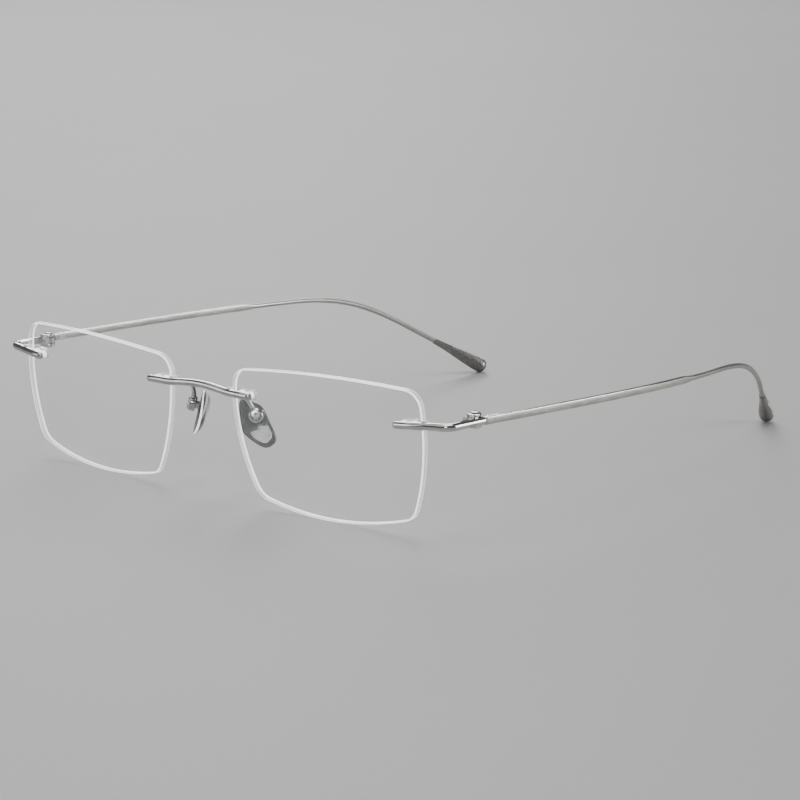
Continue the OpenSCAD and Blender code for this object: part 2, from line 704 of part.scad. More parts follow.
module pad_screw(left) {
    color("gainsboro") sided(left) at_pad() translate([-pad_axis_depth, 0, 0]) rotate([90, 0, 0]) {
        translate([0, 0, -box_r]) cylinder(r = pad_screw_r, h = 2 * box_r + still_fit + pad_screw_head_h / 2);
        translate([0, 0, box_r + still_fit]) cylinder(r = pad_screw_head_r, h = pad_screw_head_h);
    }
}

// Plate in the pad's back with a lug that rocks on the pad screw
module pad_core(left) {
    color("white") sided(left) at_pad() difference() {
        union() {
            translate([plate_gap, 0, 0]) rotate([0, 90, 0]) cylinder(r = plate_r, h = plate_t);
            translate([-pad_axis_depth, 0, 0]) rotate([90, 0, 0])
                cylinder(r = lug_r, h = lug_w, center = true);
            translate([-pad_axis_depth, -lug_w / 2, -lug_r])
                cube([pad_axis_depth + plate_gap + lap, lug_w, 2 * lug_r]);
        }
        translate([-pad_axis_depth, 0, 0]) rotate([90, 0, 0])
            cylinder(r = pad_screw_r + running_fit, h = 2 * slot_w, center = true);
    }
}

module nose_pad(left) {
    shape = [for (p = pad_shape) [pad_w * p[0], pad_l * p[1] - pad_hang]];
    front_x = pad_back_x + pad_t;
    color("ghostwhite", 0.7) sided(left) at_pad() difference() {
        intersection() {
            rotate([90, 0, 90]) linear_extrude(front_x + past) polygon(shape);
            translate([front_x - pad_curve_r, 0, -pad_hang]) rotate([90, 0, 0])
                cylinder(r = pad_curve_r, h = 2 * pad_w, center = true, $fn = pad_facets);
        }
        translate([pad_back_x - pad_back_r, 0, -pad_hang]) rotate([90, 0, 0])
            cylinder(r = pad_back_r, h = 2 * pad_w, center = true, $fn = pad_facets);
        translate([plate_gap - past, 0, 0]) rotate([0, 90, 0])
            cylinder(r = plate_r + still_fit, h = plate_t + past + still_fit);
    }
}

// ======================= drawing =======================

lens(true);  // lens_left
lens(false);  // lens_right
bridge();
end_piece(true);  // end_piece_left
end_piece(false);  // end_piece_right
sleeve(true, nasal_mount, nasal_turn);  // nasal_sleeve_left
sleeve(false, nasal_mount, nasal_turn);  // nasal_sleeve_right
sleeve(true, temporal_mount, temporal_turn, end_tilt);  // temporal_sleeve_left
sleeve(false, temporal_mount, temporal_turn, end_tilt);  // temporal_sleeve_right
pad_arm(true);  // pad_arm_left
pad_arm(false);  // pad_arm_right
pad_box(true);  // pad_box_left
pad_box(false);  // pad_box_right
pad_screw(true);  // pad_screw_left
pad_screw(false);  // pad_screw_right
pad_core(true);  // pad_core_left
pad_core(false);  // pad_core_right
nose_pad(true);  // nose_pad_left
nose_pad(false);  // nose_pad_right
hinge_screw(true);  // hinge_screw_left
hinge_screw(false);  // hinge_screw_right
hinge_washers(true);  // hinge_washers_left
hinge_washers(false);  // hinge_washers_right
hinge_leaf(true);  // hinge_leaf_left
hinge_leaf(false);  // hinge_leaf_right
hinge_rivet(true);  // hinge_rivet_left
hinge_rivet(false);  // hinge_rivet_right
temple(true);  // temple_left
temple(false);  // temple_right
temple_tip(true);  // temple_tip_left
temple_tip(false);  // temple_tip_right
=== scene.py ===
import bpy
import bmesh
import math
from mathutils import Vector, Matrix


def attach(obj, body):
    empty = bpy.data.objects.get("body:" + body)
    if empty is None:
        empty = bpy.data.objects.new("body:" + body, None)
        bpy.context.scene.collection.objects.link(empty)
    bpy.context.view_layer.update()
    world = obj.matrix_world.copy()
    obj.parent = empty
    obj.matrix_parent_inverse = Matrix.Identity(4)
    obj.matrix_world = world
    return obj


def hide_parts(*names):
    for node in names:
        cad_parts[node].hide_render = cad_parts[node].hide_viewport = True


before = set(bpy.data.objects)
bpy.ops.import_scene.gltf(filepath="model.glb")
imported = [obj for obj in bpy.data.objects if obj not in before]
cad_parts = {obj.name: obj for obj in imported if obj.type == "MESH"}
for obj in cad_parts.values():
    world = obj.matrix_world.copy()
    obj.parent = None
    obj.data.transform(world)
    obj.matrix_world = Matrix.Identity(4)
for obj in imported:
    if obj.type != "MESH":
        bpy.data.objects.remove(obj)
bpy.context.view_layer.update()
mm = 0.001
print("frame loaded")


# Working helpers

def clearSelection():
    if bpy.context.object and bpy.context.object.mode != "OBJECT":
        bpy.ops.object.mode_set(mode="OBJECT")
    bpy.ops.object.select_all(action="DESELECT")


def begin(name, primitive, **sizes):
    clearSelection()
    primitive(**sizes)
    piece = bpy.context.object
    piece.name = piece.data.name = name
    return piece


def only(piece):
    clearSelection()
    piece.hide_set(False)
    piece.select_set(True)
    bpy.context.view_layer.objects.active = piece


# Edges flatter than these angles are shaded smooth
smoothAngles = {"lens": 30, "screw": 40, "bar": 50, "tip": 60}


def settle(piece, angle=35):  # place goes into the mesh, normals out, smooth between soft corners
    only(piece)
    bpy.ops.object.transform_apply(location=True, rotation=True, scale=True)
    bpy.ops.object.mode_set(mode="EDIT")
    bpy.ops.mesh.select_all(action="SELECT")
    bpy.ops.mesh.normals_make_consistent(inside=False)
    bpy.ops.object.mode_set(mode="OBJECT")
    bpy.ops.object.shade_smooth_by_angle(angle=math.radians(angle))
    return piece


def drawRings(name, rings):  # a first ring, extruded and shaped stop by stop
    count = len(rings[0])
    piece = begin(name, bpy.ops.mesh.primitive_circle_add, vertices=count, radius=mm, fill_type="NGON")
    only(piece)
    bpy.ops.object.mode_set(mode="EDIT")
    bpy.ops.mesh.select_all(action="SELECT")
    shape = bmesh.from_edit_mesh(piece.data)
    seat = shape.verts.layers.int.new("seat")
    ringAt = shape.verts.layers.int.new("ring")
    shape.verts.ensure_lookup_table()
    for k, vert in enumerate(shape.verts):
        vert[seat] = k
        vert.co = rings[0][k]
    for number, ring in enumerate(rings[1:], 1):
        bpy.ops.mesh.extrude_region_move()
        shape = bmesh.from_edit_mesh(piece.data)
        seat = shape.verts.layers.int["seat"]
        ringAt = shape.verts.layers.int["ring"]
        for vert in shape.verts:
            if vert.select:
                vert.co = ring[vert[seat]]
                vert[ringAt] = number
    bmesh.update_edit_mesh(piece.data)
    bpy.ops.object.mode_set(mode="OBJECT")
    return piece


def place(piece, matrix):
    piece.data.transform(matrix)
    return piece


def join(pieces, name):
    clearSelection()
    for piece in pieces:
        piece.select_set(True)
    bpy.context.view_layer.objects.active = pieces[0]
    bpy.ops.object.join()
    pieces[0].name = pieces[0].data.name = name
    return pieces[0]


def bevelEdges(piece, width, segments=3, angle=35):
    only(piece)
    bevel = piece.modifiers.new("soft", "BEVEL")
    bevel.width, bevel.segments = width, segments
    bevel.limit_method, bevel.angle_limit = "ANGLE", math.radians(angle)
    bpy.ops.object.modifier_apply(modifier=bevel.name)
    return piece


def cutAway(piece, cutter):
    only(piece)
    cut = piece.modifiers.new("cut", "BOOLEAN")
    cut.operation, cut.object, cut.solver = "DIFFERENCE", cutter, "EXACT"
    bpy.ops.object.modifier_apply(modifier=cut.name)
    bpy.data.objects.remove(cutter)
    return piece


def bothSides(piece, node, body):  # the other side is a mirrored copy with its own mesh
    only(piece)
    bpy.ops.object.duplicate()
    other = bpy.context.object
    other.data.transform(Matrix.Scale(-1, 4, (1, 0, 0)))
    other.name = other.data.name = piece.name.replace("Left", "Right")
    bpy.ops.object.mode_set(mode="EDIT")
    bpy.ops.mesh.select_all(action="SELECT")
    bpy.ops.mesh.normals_make_consistent(inside=False)
    bpy.ops.object.mode_set(mode="OBJECT")
    for shown, side in ((piece, "left"), (other, "right")):
        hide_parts(node + "_" + side)
        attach(shown, body.replace("SIDE", side))
    return piece, other


# Finishes

class Reading:  # a node's output that takes + - * with numbers and other readings
    def __init__(self, finish, socket):
        self.finish, self.socket = finish, socket

    def sum(self, operation, first, second):
        return self.finish.node("ShaderNodeMath", {"operation": operation}, {0: first, 1: second})

    def __add__(self, other):
        return self.sum("ADD", self, other)

    __radd__ = __add__

    def __sub__(self, other):
        return self.sum("SUBTRACT", self, other)

    def __rsub__(self, other):
        return self.sum("SUBTRACT", other, self)

    def __mul__(self, other):
        return self.sum("MULTIPLY", self, other)

    __rmul__ = __mul__

    def __pow__(self, other):
        return self.sum("POWER", self, other)


class Finish:
    def __init__(self, name, **fixed):
        self.material = bpy.data.materials.new(name)
        self.material.use_nodes = True
        self.tree = self.material.node_tree
        self.shader = self.tree.nodes["Principled BSDF"]
        for socket, value in fixed.items():
            self.feed(self.shader.inputs[socket.replace("_", " ")], value)

    def feed(self, socket, value):
        if isinstance(value, Reading):
            self.tree.links.new(value.socket, socket)
        else:
            socket.default_value = value

    def node(self, kind, settings=None, sockets=None, output=0):
        made = self.tree.nodes.new(kind)
        for key, value in (settings or {}).items():
            if key == "stops":
                for stop, (spot, colour) in zip(made.color_ramp.elements, value):
                    stop.position, stop.color = spot, colour
            else:
                setattr(made, key, value)
        for key, value in (sockets or {}).items():
            self.feed(made.inputs[key], value)
        return Reading(self, made.outputs[output])

    def coords(self, scale=(1, 1, 1), turn=(0, 0, 0)):
        place = self.node("ShaderNodeTexCoord", output="Object")
        return self.node("ShaderNodeMapping", None, {"Vector": place, "Scale": scale, "Rotation": turn})

    def noise(self, scale, stretch=(1, 1, 1), detail=3, roughness=0.5):
        return self.node("ShaderNodeTexNoise", None, {"Vector": self.coords(stretch), "Scale": scale,
                                                      "Detail": detail, "Roughness": roughness})

    def between(self, low, high, factor):
        return self.node("ShaderNodeMix", {"data_type": "RGBA"}, {"Factor": factor, 6: low, 7: high}, 2)

    def glance(self):  # 0 looked at squarely, 1 at the rim
        return self.node("ShaderNodeLayerWeight", None, {"Blend": 0.5}, 1) ** 4

    def band(self, reading, low, high):  # 0 below low, 1 above high
        return self.node("ShaderNodeMapRange", {"interpolation_type": "SMOOTHSTEP"},
                         {"Value": reading, "From Min": low, "From Max": high})

    def relief(self, height, distance, strength=1.0):
        bump = self.node("ShaderNodeBump", None,
                         {"Height": height, "Distance": distance, "Strength": strength})
        self.feed(self.shader.inputs["Normal"], bump)

    def surface(self, **sockets):
        for socket, value in sockets.items():
            self.feed(self.shader.inputs[socket.replace("_", " ")], value)
        return self.material


def steelPolished(name, look):
    finish = Finish(name, Metallic=1.0)
    cloud = finish.noise(look["cloud"], detail=2)
    haze = finish.noise(look["haze"], detail=4)
    hairline = finish.noise(1.0, look["hairlines"], detail=2)
    finish.relief(hairline, look["relief"])
    tone = finish.band(cloud, 0.35, 0.65)
    return finish.surface(Base_Color=finish.between(look["dark"], look["light"], tone),
                          Roughness=look["rough"] + look["roughSpread"] * finish.band(haze, 0.4, 0.7))


polishedLook = {"cloud": 350.0, "haze": 900.0, "hairlines": (2600, 900, 2600), "relief": 0.000002,
                "dark": (0.50, 0.49, 0.475, 1), "light": (0.62, 0.61, 0.59, 1),
                "rough": 0.07, "roughSpread": 0.07}
wireLook = {"cloud": 500.0, "haze": 1500.0, "hairlines": (1800, 1800, 1800), "relief": 0.000003,
            "dark": (0.46, 0.455, 0.45, 1), "light": (0.60, 0.59, 0.58, 1),
            "rough": 0.10, "roughSpread": 0.08}
screwLook = {"cloud": 900.0, "haze": 2500.0, "hairlines": (4000, 4000, 4000), "relief": 0.000004,
             "dark": (0.40, 0.395, 0.39, 1), "light": (0.56, 0.55, 0.54, 1),
             "rough": 0.14, "roughSpread": 0.14}
barSteel = steelPolished("polishedBarSteel", polishedLook)
wireSteel = steelPolished("polishedWireSteel", wireLook)
screwSteel = steelPolished("turnedScrewSteel", screwLook)


def steelBrushed(name, look):
    finish = Finish(name, Metallic=1.0)
    streak = finish.noise(1.0, look["streaks"], detail=4, roughness=0.6)
    fleck = finish.noise(1.0, look["flecks"], detail=2)
    broad = finish.noise(look["cloud"], detail=2)
    grain = streak * 0.7 + fleck * 0.3
    finish.relief(grain, look["relief"], 0.8)
    tone = finish.band(grain + broad * 0.3, 0.45, 0.85)
    return finish.surface(Base_Color=finish.between(look["dark"], look["light"], tone),
                          Roughness=look["rough"] + look["roughSpread"] * grain)


templeBrush = {"streaks": (9000, 260, 9000), "flecks": (16000, 900, 16000), "cloud": 120.0,
               "relief": 0.000006, "dark": (0.32, 0.31, 0.29, 1), "light": (0.60, 0.585, 0.56, 1),
               "rough": 0.19, "roughSpread": 0.26}
leafBrush = dict(templeBrush, streaks=(6000, 500, 6000), dark=(0.40, 0.39, 0.38, 1), rough=0.24)
templeSteel = steelBrushed("brushedTempleSteel", templeBrush)
leafSteel = steelBrushed("satinLeafSteel", leafBrush)


def clearLensPaintedSheen(look):
    finish = Finish("clearLensPaintedSheen", Roughness=look["rough"], Metallic=0.0)
    glance = finish.glance()
    smear = finish.noise(look["smear"], detail=3)
    # Opacity rises towards the rim, where the pale lens colour shows as a painted sheen in place of
    # reflection
    return finish.surface(Base_Color=finish.between(look["deep"], look["pale"], finish.band(smear, 0.3, 0.7)),
                          Alpha=look["body"] + look["paintedSheen"] * glance,
                          Specular_IOR_Level=look["shine"])


# The last opacity term is a painted sheen that grows towards the rim
lensLook = {"rough": 0.03, "smear": 35.0, "deep": (0.80, 0.86, 0.85, 1), "pale": (0.88, 0.93, 0.92, 1),
            "body": 0.03, "paintedSheen": 0.6, "shine": 1.0}
lensFacePaintedSheen = clearLensPaintedSheen(lensLook)


def paintedGlowBand(name, look):
    finish = Finish(name, Metallic=0.0)
    ripple = finish.noise(look["ripple"], detail=3)
    line = finish.noise(1.0, look["lines"], detail=2)
    finish.relief(line, look["relief"])
    # The emission is painted light: the edge shines grey to white in streaks though it is no lamp
    return finish.surface(Base_Color=finish.between(look["grey"], look["white"],
                                                    finish.band(ripple, 0.35, 0.6)),
                          Roughness=look["rough"] + 0.15 * ripple, Alpha=look["body"] + 0.12 * ripple,
                          Emission_Color=finish.between(look["grey"], look["white"], line),
                          Emission_Strength=look["paintedGlow"], Coat_Weight=0.5)


# The emission strengths are painted light along the lens edge chamfers and band
edgeLook = {"ripple": 120.0, "lines": (900, 9000, 900), "relief": 0.000004, "grey": (0.80, 0.83, 0.83, 1),
            "white": (0.97, 0.98, 0.98, 1), "rough": 0.12, "body": 0.92, "paintedGlow": 1.7}
bandLook = dict(edgeLook, grey=(0.62, 0.66, 0.66, 1), white=(0.92, 0.94, 0.94, 1), body=0.3, paintedGlow=0.9)
lensEdgePaintedGlow = paintedGlowBand("lensEdgeChamferPaintedGlow", edgeLook)
lensBandPaintedGlow = paintedGlowBand("lensEdgeBandPaintedGlow", bandLook)


def moulded(name, look):
    finish = Finish(name, Metallic=0.0)
    grain = finish.noise(look["grain"], detail=4)
    patch = finish.noise(look["patch"], detail=2)
    finish.relief(grain, look["relief"])
    return finish.surface(Base_Color=finish.between(look["dark"], look["light"],
                                                    finish.band(patch, 0.35, 0.65)),
                          Roughness=look["rough"] + look["roughSpread"] * grain, Alpha=look["body"],
                          Coat_Weight=look["coat"])


plasticLook = {"grain": 5000.0, "patch": 300.0, "relief": 0.000008, "dark": (0.010, 0.010, 0.011, 1),
               "light": (0.026, 0.026, 0.028, 1), "rough": 0.28, "roughSpread": 0.2, "body": 1.0, "coat": 0.3}
tipBrush = dict(templeBrush, streaks=(3000, 1400, 3000), flecks=(9000, 5000, 9000),
                dark=(0.20, 0.195, 0.185, 1), light=(0.36, 0.35, 0.335, 1), rough=0.20)
washerLook = dict(plasticLook, dark=(0.03, 0.03, 0.03, 1), light=(0.07, 0.07, 0.07, 1), coat=0.1)
sleeveLook = {"grain": 3000.0, "patch": 800.0, "relief": 0.000003, "dark": (0.72, 0.75, 0.76, 1),
              "light": (0.94, 0.95, 0.95, 1), "rough": 0.10, "roughSpread": 0.1, "body": 0.8, "coat": 0.8}
tipFinish = steelBrushed("ribbedTipSteel", tipBrush)
washerFinish = moulded("washerPlastic", washerLook)
sleeveFinish = moulded("clearSleevePlastic", sleeveLook)


def clearPad(look):
    finish = Finish("clearPadPlasticPaintedSheen", Metallic=0.0)
    cloud = finish.noise(look["cloud"], detail=3)
    dimple = finish.noise(look["dimple"], detail=2)
    glance = finish.glance()
    finish.relief(dimple, look["relief"])
    body = finish.between(look["deep"], look["pale"], finish.band(cloud, 0.3, 0.7))
    # Towards the rim the colour turns to the rim grey and grows more opaque: a painted sheen
    return finish.surface(Base_Color=finish.between(body, look["rim"], glance),
                          Roughness=look["rough"] + 0.1 * cloud, Alpha=look["body"] + look["paintedSheen"] * glance,
                          Coat_Weight=look["coat"])


# The rim colour and the last opacity term are a painted sheen at grazing angles; the rest is the pad's own
# dark clear plastic
padLook = {"cloud": 180.0, "dimple": 700.0, "relief": 0.00001, "deep": (0.035, 0.036, 0.04, 1),
           "pale": (0.10, 0.105, 0.115, 1), "rim": (0.5, 0.52, 0.53, 1), "rough": 0.04, "body": 0.72,
           "paintedSheen": 0.25, "coat": 1.0}
padPlasticPaintedSheen = clearPad(padLook)
print("finishes ready")


# Lenses

lensSizes = {"topWidth": 52.8, "height": 28.0, "nasalDraw": 5.7, "temporalDraw": 3.2,
             "swells": (1.5, 2.3, 2.8, 2.3), "corners": (4.5, 4.5, 4.8, 4.8), "roll": 1.5,
             "thick": 1.5, "curve": 200.0, "wrap": 3.7, "lean": 3.4, "x": 36.8366, "z": 16.7004,
             "frontY": -71.4704, "chamfer": 0.26, "holeRadius": 0.79}


def lensOutline(s, cornerSteps=10, edgeSteps=22):
    half, tall = s["topWidth"] / 2, s["height"] / 2
    corner = [Vector((-half, tall)), Vector((half, tall)), Vector((half - s["temporalDraw"], -tall)),
              Vector((-half + s["nasalDraw"], -tall))]
    radius, centre, fillet = [], [], []
    for i in range(4):
        p, q, swell = corner[i], corner[(i + 1) % 4], s["swells"][i]
        r = ((q - p).length ** 2 / 4 + swell * swell) / (2 * swell)
        d = (q - p).normalized()
        radius.append(r)
        centre.append((p + q) / 2 - Vector((-d.y, d.x)) * (r - swell))
    for i in range(4):
        j, r = (i + 3) % 4, s["corners"][i]
        a, ra, b, rb = centre[j], radius[j] - r, centre[i], radius[i] - r
        d, e = (b - a).length, (b - a).normalized()
        run = (d * d + ra * ra - rb * rb) / (2 * d)
        off = math.sqrt(ra * ra - run * run)
        side = Vector((-e.y, e.x))
        fillet.append(min((a + e * run + side * off, a + e * run - side * off),
                          key=lambda p: (p - corner[i]).length))
    points = []
    for i in range(4):
        j, k, r = (i + 3) % 4, (i + 1) % 4, s["corners"][i]
        angles = [math.atan2(v.y, v.x)
                  for v in (fillet[i] - centre[j], fillet[i] - centre[i], fillet[k] - centre[i])]
        for c, size, start, end, steps in ((fillet[i], r, angles[0], angles[1], cornerSteps),
                                           (centre[i], radius[i], angles[1], angles[2], edgeSteps)):
            end = end - 2 * math.pi if end > start else end
            points += [c + size * Vector((math.cos(start + (end - start) * n / steps),
                                          math.sin(start + (end - start) * n / steps))) for n in range(steps)]
    turn = Matrix.Rotation(math.radians(s["roll"]), 2)
    return [turn @ p for p in points]


def onLens(s, p, depth):  # depth 0 is the front surface
    sag = s["curve"] - math.sqrt(s["curve"] ** 2 - p.x * p.x - p.y * p.y)
    spot = Matrix.Rotation(math.radians(s["lean"]), 3, "X") @ Vector((p.x, sag + depth, p.y))
    spot = Matrix.Rotation(math.radians(s["wrap"]), 3, "Z") @ spot
    return (spot + Vector((s["x"], s["frontY"], s["z"]))) * mm


def makeLens(s):
    outline = lensOutline(s)
    middle = Vector((0, 0))
    inner = []
    for k, p in enumerate(outline):
        ahead = (outline[(k + 1) % len(outline)] - outline[k - 1]).normalized()
        inner.append(p + Vector((ahead.y, -ahead.x)) * s["chamfer"])
    if (inner[0] - middle).length > (outline[0] - middle).length:
        inner = [2 * p - q for p, q in zip(outline, inner)]
    shares = (0.05, 0.3, 0.55, 0.78, 0.93)
    rings = [[onLens(s, middle + (p - middle) * f, 0) for p in inner] for f in shares]
    rings.append([onLens(s, p, 0) for p in inner])
    bandStart = len(rings) - 1
    rings.append([onLens(s, p, s["chamfer"]) for p in outline])
    rings.append([onLens(s, p, s["thick"] - s["chamfer"]) for p in outline])
    rings.append([onLens(s, p, s["thick"]) for p in inner])
    bandEnd = len(rings) - 1
    rings += [[onLens(s, middle + (p - middle) * f, s["thick"]) for p in inner] for f in reversed(shares)]
    lens = drawRings("lensLeft", rings)
    lens.data.materials.append(lensFacePaintedSheen)
    lens.data.materials.append(lensEdgePaintedGlow)
    lens.data.materials.append(lensBandPaintedGlow)
    # Chamfer and band faces take the edge materials, with their painted emission
    ringAt = lens.data.attributes["ring"].data
    for face in lens.data.polygons:
        numbers = [ringAt[v].value for v in face.vertices]
        if min(numbers) >= bandStart and max(numbers) <= bandEnd:
            face.material_index = 2 if sum(numbers) == 2 * (bandStart + bandEnd) else 1
    return lens


# Where a bar is pinned to a lens: place in the frame, turn round z, and tilt
mountSpots = {"nasal": {"place": (13.5305, -0.460486, 24.7727), "turn": -2.98646, "tilt": 0.0},
              "temporal": {"place": (59.9101, 2.53748, 24.2708), "turn": 10.3582, "tilt": 3.583}}
pinSizes = {"radius": 0.45, "pitch": 2.7, "inset": 1.9, "tail": 0.35, "plate": 0.5}


def mountMatrix(spot):
    x, y, z = spot["place"]
    return (Matrix.Translation(Vector((x, y + lensSizes["frontY"], z)) * mm)
            @ Matrix.Rotation(math.radians(spot["turn"]), 4, "Z")
            @ Matrix.Rotation(math.radians(-spot["tilt"]), 4, "Y"))


def pegs(name, radius, near, far, spot, vertices=32):  # two round pegs at a mount's pins
    made = []
    for side in (-1, 1):
        peg = begin(name, bpy.ops.mesh.primitive_cylinder_add, vertices=vertices, radius=radius * mm,
                    depth=(far - near) * mm,
                    location=(side * pinSizes["pitch"] / 2 * mm, (near + far) / 2 * mm, 0),
                    rotation=(math.pi / 2, 0, 0))
        only(peg)
        bpy.ops.object.transform_apply(location=True, rotation=True, scale=True)
        made.append(place(peg, mountMatrix(spot)))
    return join(made, name)


lens = makeLens(lensSizes)
for spot in mountSpots.values():
    drill = pegs("drill", lensSizes["holeRadius"], -1.5, 3.5, spot)
    # The hole walls take the lens edge material, painted emission included
    drill.data.materials.append(lensEdgePaintedGlow)
    cutAway(lens, drill)
settle(lens, smoothAngles["lens"])
bothSides(lens, "lens", "front")
print("lenses made")


# Bars: the bridge and the end pieces

barSizes = {"height": 1.7, "depth": 1.3, "seatGap": 0.05, "soft": 0.16, "frontPoints": 17, "domeSteps": 9}
barAxisY = -barSizes["seatGap"] - barSizes["depth"] / 2


def along(point, turn, x, y):
    c, s = math.cos(math.radians(turn)), math.sin(math.radians(turn))
    return Vector((point[0] + x * c - y * s, point[1] + x * s + y * c, point[2]))


def rightOf(heading):
    return Vector((heading.y, -heading.x, 0)).normalized()


def setSquare(point, heading, sideways, up):
    side = rightOf(heading)
    return point + side * sideways + side.cross(heading) * up


def barRing(stop):
    point, heading, size = stop
    s = barSizes
    r, flat = s["height"] / 2, s["depth"] / 2
    mid = flat - (s["depth"] - r)
    turns = [math.radians(-90 - 180 * k / (s["frontPoints"] - 1)) for k in range(s["frontPoints"])]
    section = [(mid + r * math.cos(a), r * math.sin(a)) for a in turns]
    soft = s["soft"]
    section += [(flat - soft, r), (flat - soft * 0.3, r - soft * 0.3), (flat, r - soft),
                (flat, -r + soft), (flat - soft * 0.3, -r + soft * 0.3), (flat - soft, -r)]
    shift = Vector((0, lensSizes["frontY"], 0))
    return [(setSquare(point, heading, flat + size * (x - flat), size * y) + shift) * mm for x, y in section]


def barDome(end, inwards, heading):
    steps = barSizes["domeSteps"]
    stops = []
    for k in range(steps):
        q = math.sin(math.radians(90 * (k + 0.25) / steps))
        stops.append((end + inwards * (1 - math.sqrt(1 - q * q)) * barSizes["height"] * 0.62, heading, q))
    return stops


def lug(spot, side, edgeX):  # small block that stands against the lens edge, a little above the bar
    block = begin("lug", bpy.ops.mesh.primitive_cube_add, size=mm)
    block.scale = (0.95, lensSizes["thick"] + 0.55, 1.9)
    block.location = Vector((edgeX + side * 0.62, (lensSizes["thick"] - 0.75) / 2, 0.25)) * mm
    only(block)
    bpy.ops.object.transform_apply(location=True, rotation=True, scale=True)
    bevelEdges(block, 0.14 * mm)
    block.data.materials.append(sleeveFinish)
    return place(block, mountMatrix(spot))


def pinSet(name, spot):
    back = lensSizes["thick"] + barSizes["seatGap"] + pinSizes["plate"] + pinSizes["tail"]
    pins = pegs(name, pinSizes["radius"], barAxisY, back, spot)
    pins.data.materials.append(barSteel)
    return bevelEdges(pins, 0.12 * mm, 3, 60)


bridgeSizes = {"overlap": 6.9, "rise": 0.7, "straight": 0.91, "pull": 0.45, "archSteps": 40}


def mirrored(p):
    return Vector((-p.x, p.y, p.z))


def bridgeEnd():
    return along(mountSpots["nasal"]["place"], mountSpots["nasal"]["turn"],
                 pinSizes["inset"] + pinSizes["pitch"] / 2, barAxisY)


def bridgeCurve():
    turn = mountSpots["nasal"]["turn"]
    root = along(bridgeEnd(), turn, -bridgeSizes["straight"] * bridgeSizes["overlap"], 0)
    pulled = along(root, turn, -bridgeSizes["pull"] * root.x, 0)
    return [root, pulled, mirrored(pulled), mirrored(root)]


def bezier(curve, t):
    shares = ((1 - t) ** 3, 3 * (1 - t) ** 2 * t, 3 * (1 - t) * t * t, t ** 3)
    slopes = ((1 - t) ** 2, 2 * (1 - t) * t, t * t)
    spot = sum((c * w for c, w in zip(curve, shares)), Vector((0, 0, 0)))
    slope = sum(((curve[k + 1] - curve[k]) * slopes[k] for k in range(3)), Vector((0, 0, 0)))
    return spot, slope.normalized()


def makeBridge(s):
    nasal = mountSpots["nasal"]
    turn = math.radians(nasal["turn"])
    inwards = Vector((-math.cos(turn), -math.sin(turn), 0))
    dome = barDome(bridgeEnd(), inwards, inwards)
    curve, arch = bridgeCurve(), []
    for k in range(s["archSteps"] + 1):
        spot, slope = bezier(curve, k / s["archSteps"])
        lift = s["rise"] * math.sin(math.pi * k / s["archSteps"]) ** 2
        arch.append((spot + Vector((0, 0, lift)), slope, 1))
    tail = [(mirrored(p), Vector((h.x, -h.y, 0)), q) for p, h, q in reversed(dome)]
    parts = [drawRings("bridgeBar", [barRing(stop) for stop in dome + arch + tail])]
    parts[0].data.materials.append(barSteel)
    edgeX = -(s["overlap"] - pinSizes["inset"] - pinSizes["pitch"] / 2)
    for flip in (False, True):
        for extra in (pinSet("bridgePins", nasal), lug(nasal, -1, edgeX)):
            if flip:
                extra.data.transform(Matrix.Scale(-1, 4, (1, 0, 0)))
            parts.append(extra)
    return settle(join(parts, "bridgeBar"), 40)


bridge = makeBridge(bridgeSizes)
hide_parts("bridge")
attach(bridge, "front")
print("bridge made")

endSizes = {"overlap": 7.2, "reach": 6.6, "dip": 0.5, "bendRadius": 3.0, "bendSteps": 18, "stopGap": 0.1}
hingeSizes = {"splay": 2.6, "axis": (-2.0, -0.65), "knuckle": 1.3, "barrel": 3.0, "middle": 1.1,
              "washerGap": 0.25, "block": 1.2, "earRoot": 0.3, "screw": 0.5, "head": 0.95,
              "headHigh": 0.3, "slot": 0.24}
seam = Vector((70.9085, 14.6346, 24.7708))


def hingeMatrix():
    return (Matrix.Translation((seam + Vector((0, lensSizes["frontY"], 0))) * mm)
            @ Matrix.Rotation(math.radians(-hingeSizes["splay"]), 4, "Z"))


def barrelMatrix():
    return hingeMatrix() @ Matrix.Translation(Vector((*hingeSizes["axis"], 0)) * mm)


def drum(name, radius, low, high, vertices=48, soft=0.0):
    made = begin(name, bpy.ops.mesh.primitive_cylinder_add, vertices=vertices, radius=radius * mm,
                 depth=(high - low) * mm, location=(0, 0, (high + low) / 2 * mm))
    only(made)
    bpy.ops.object.transform_apply(location=True, rotation=True, scale=True)
    return bevelEdges(made, soft * mm, 3, 60) if soft else made


def slab(name, low, high, soft=0.0):
    made = begin(name, bpy.ops.mesh.primitive_cube_add, size=mm)
    made.scale = [b - a for a, b in zip(low, high)]
    made.location = [(a + b) / 2 * mm for a, b in zip(low, high)]
    only(made)
    bpy.ops.object.transform_apply(location=True, rotation=True, scale=True)
    return bevelEdges(made, soft * mm, 2, 60) if soft else made


def fuse(piece, other):
    only(piece)
    union = piece.modifiers.new("fuse", "BOOLEAN")
    union.operation, union.object, union.solver = "UNION", other, "EXACT"
    bpy.ops.object.modifier_apply(modifier=union.name)
    bpy.data.objects.remove(other)
    return piece


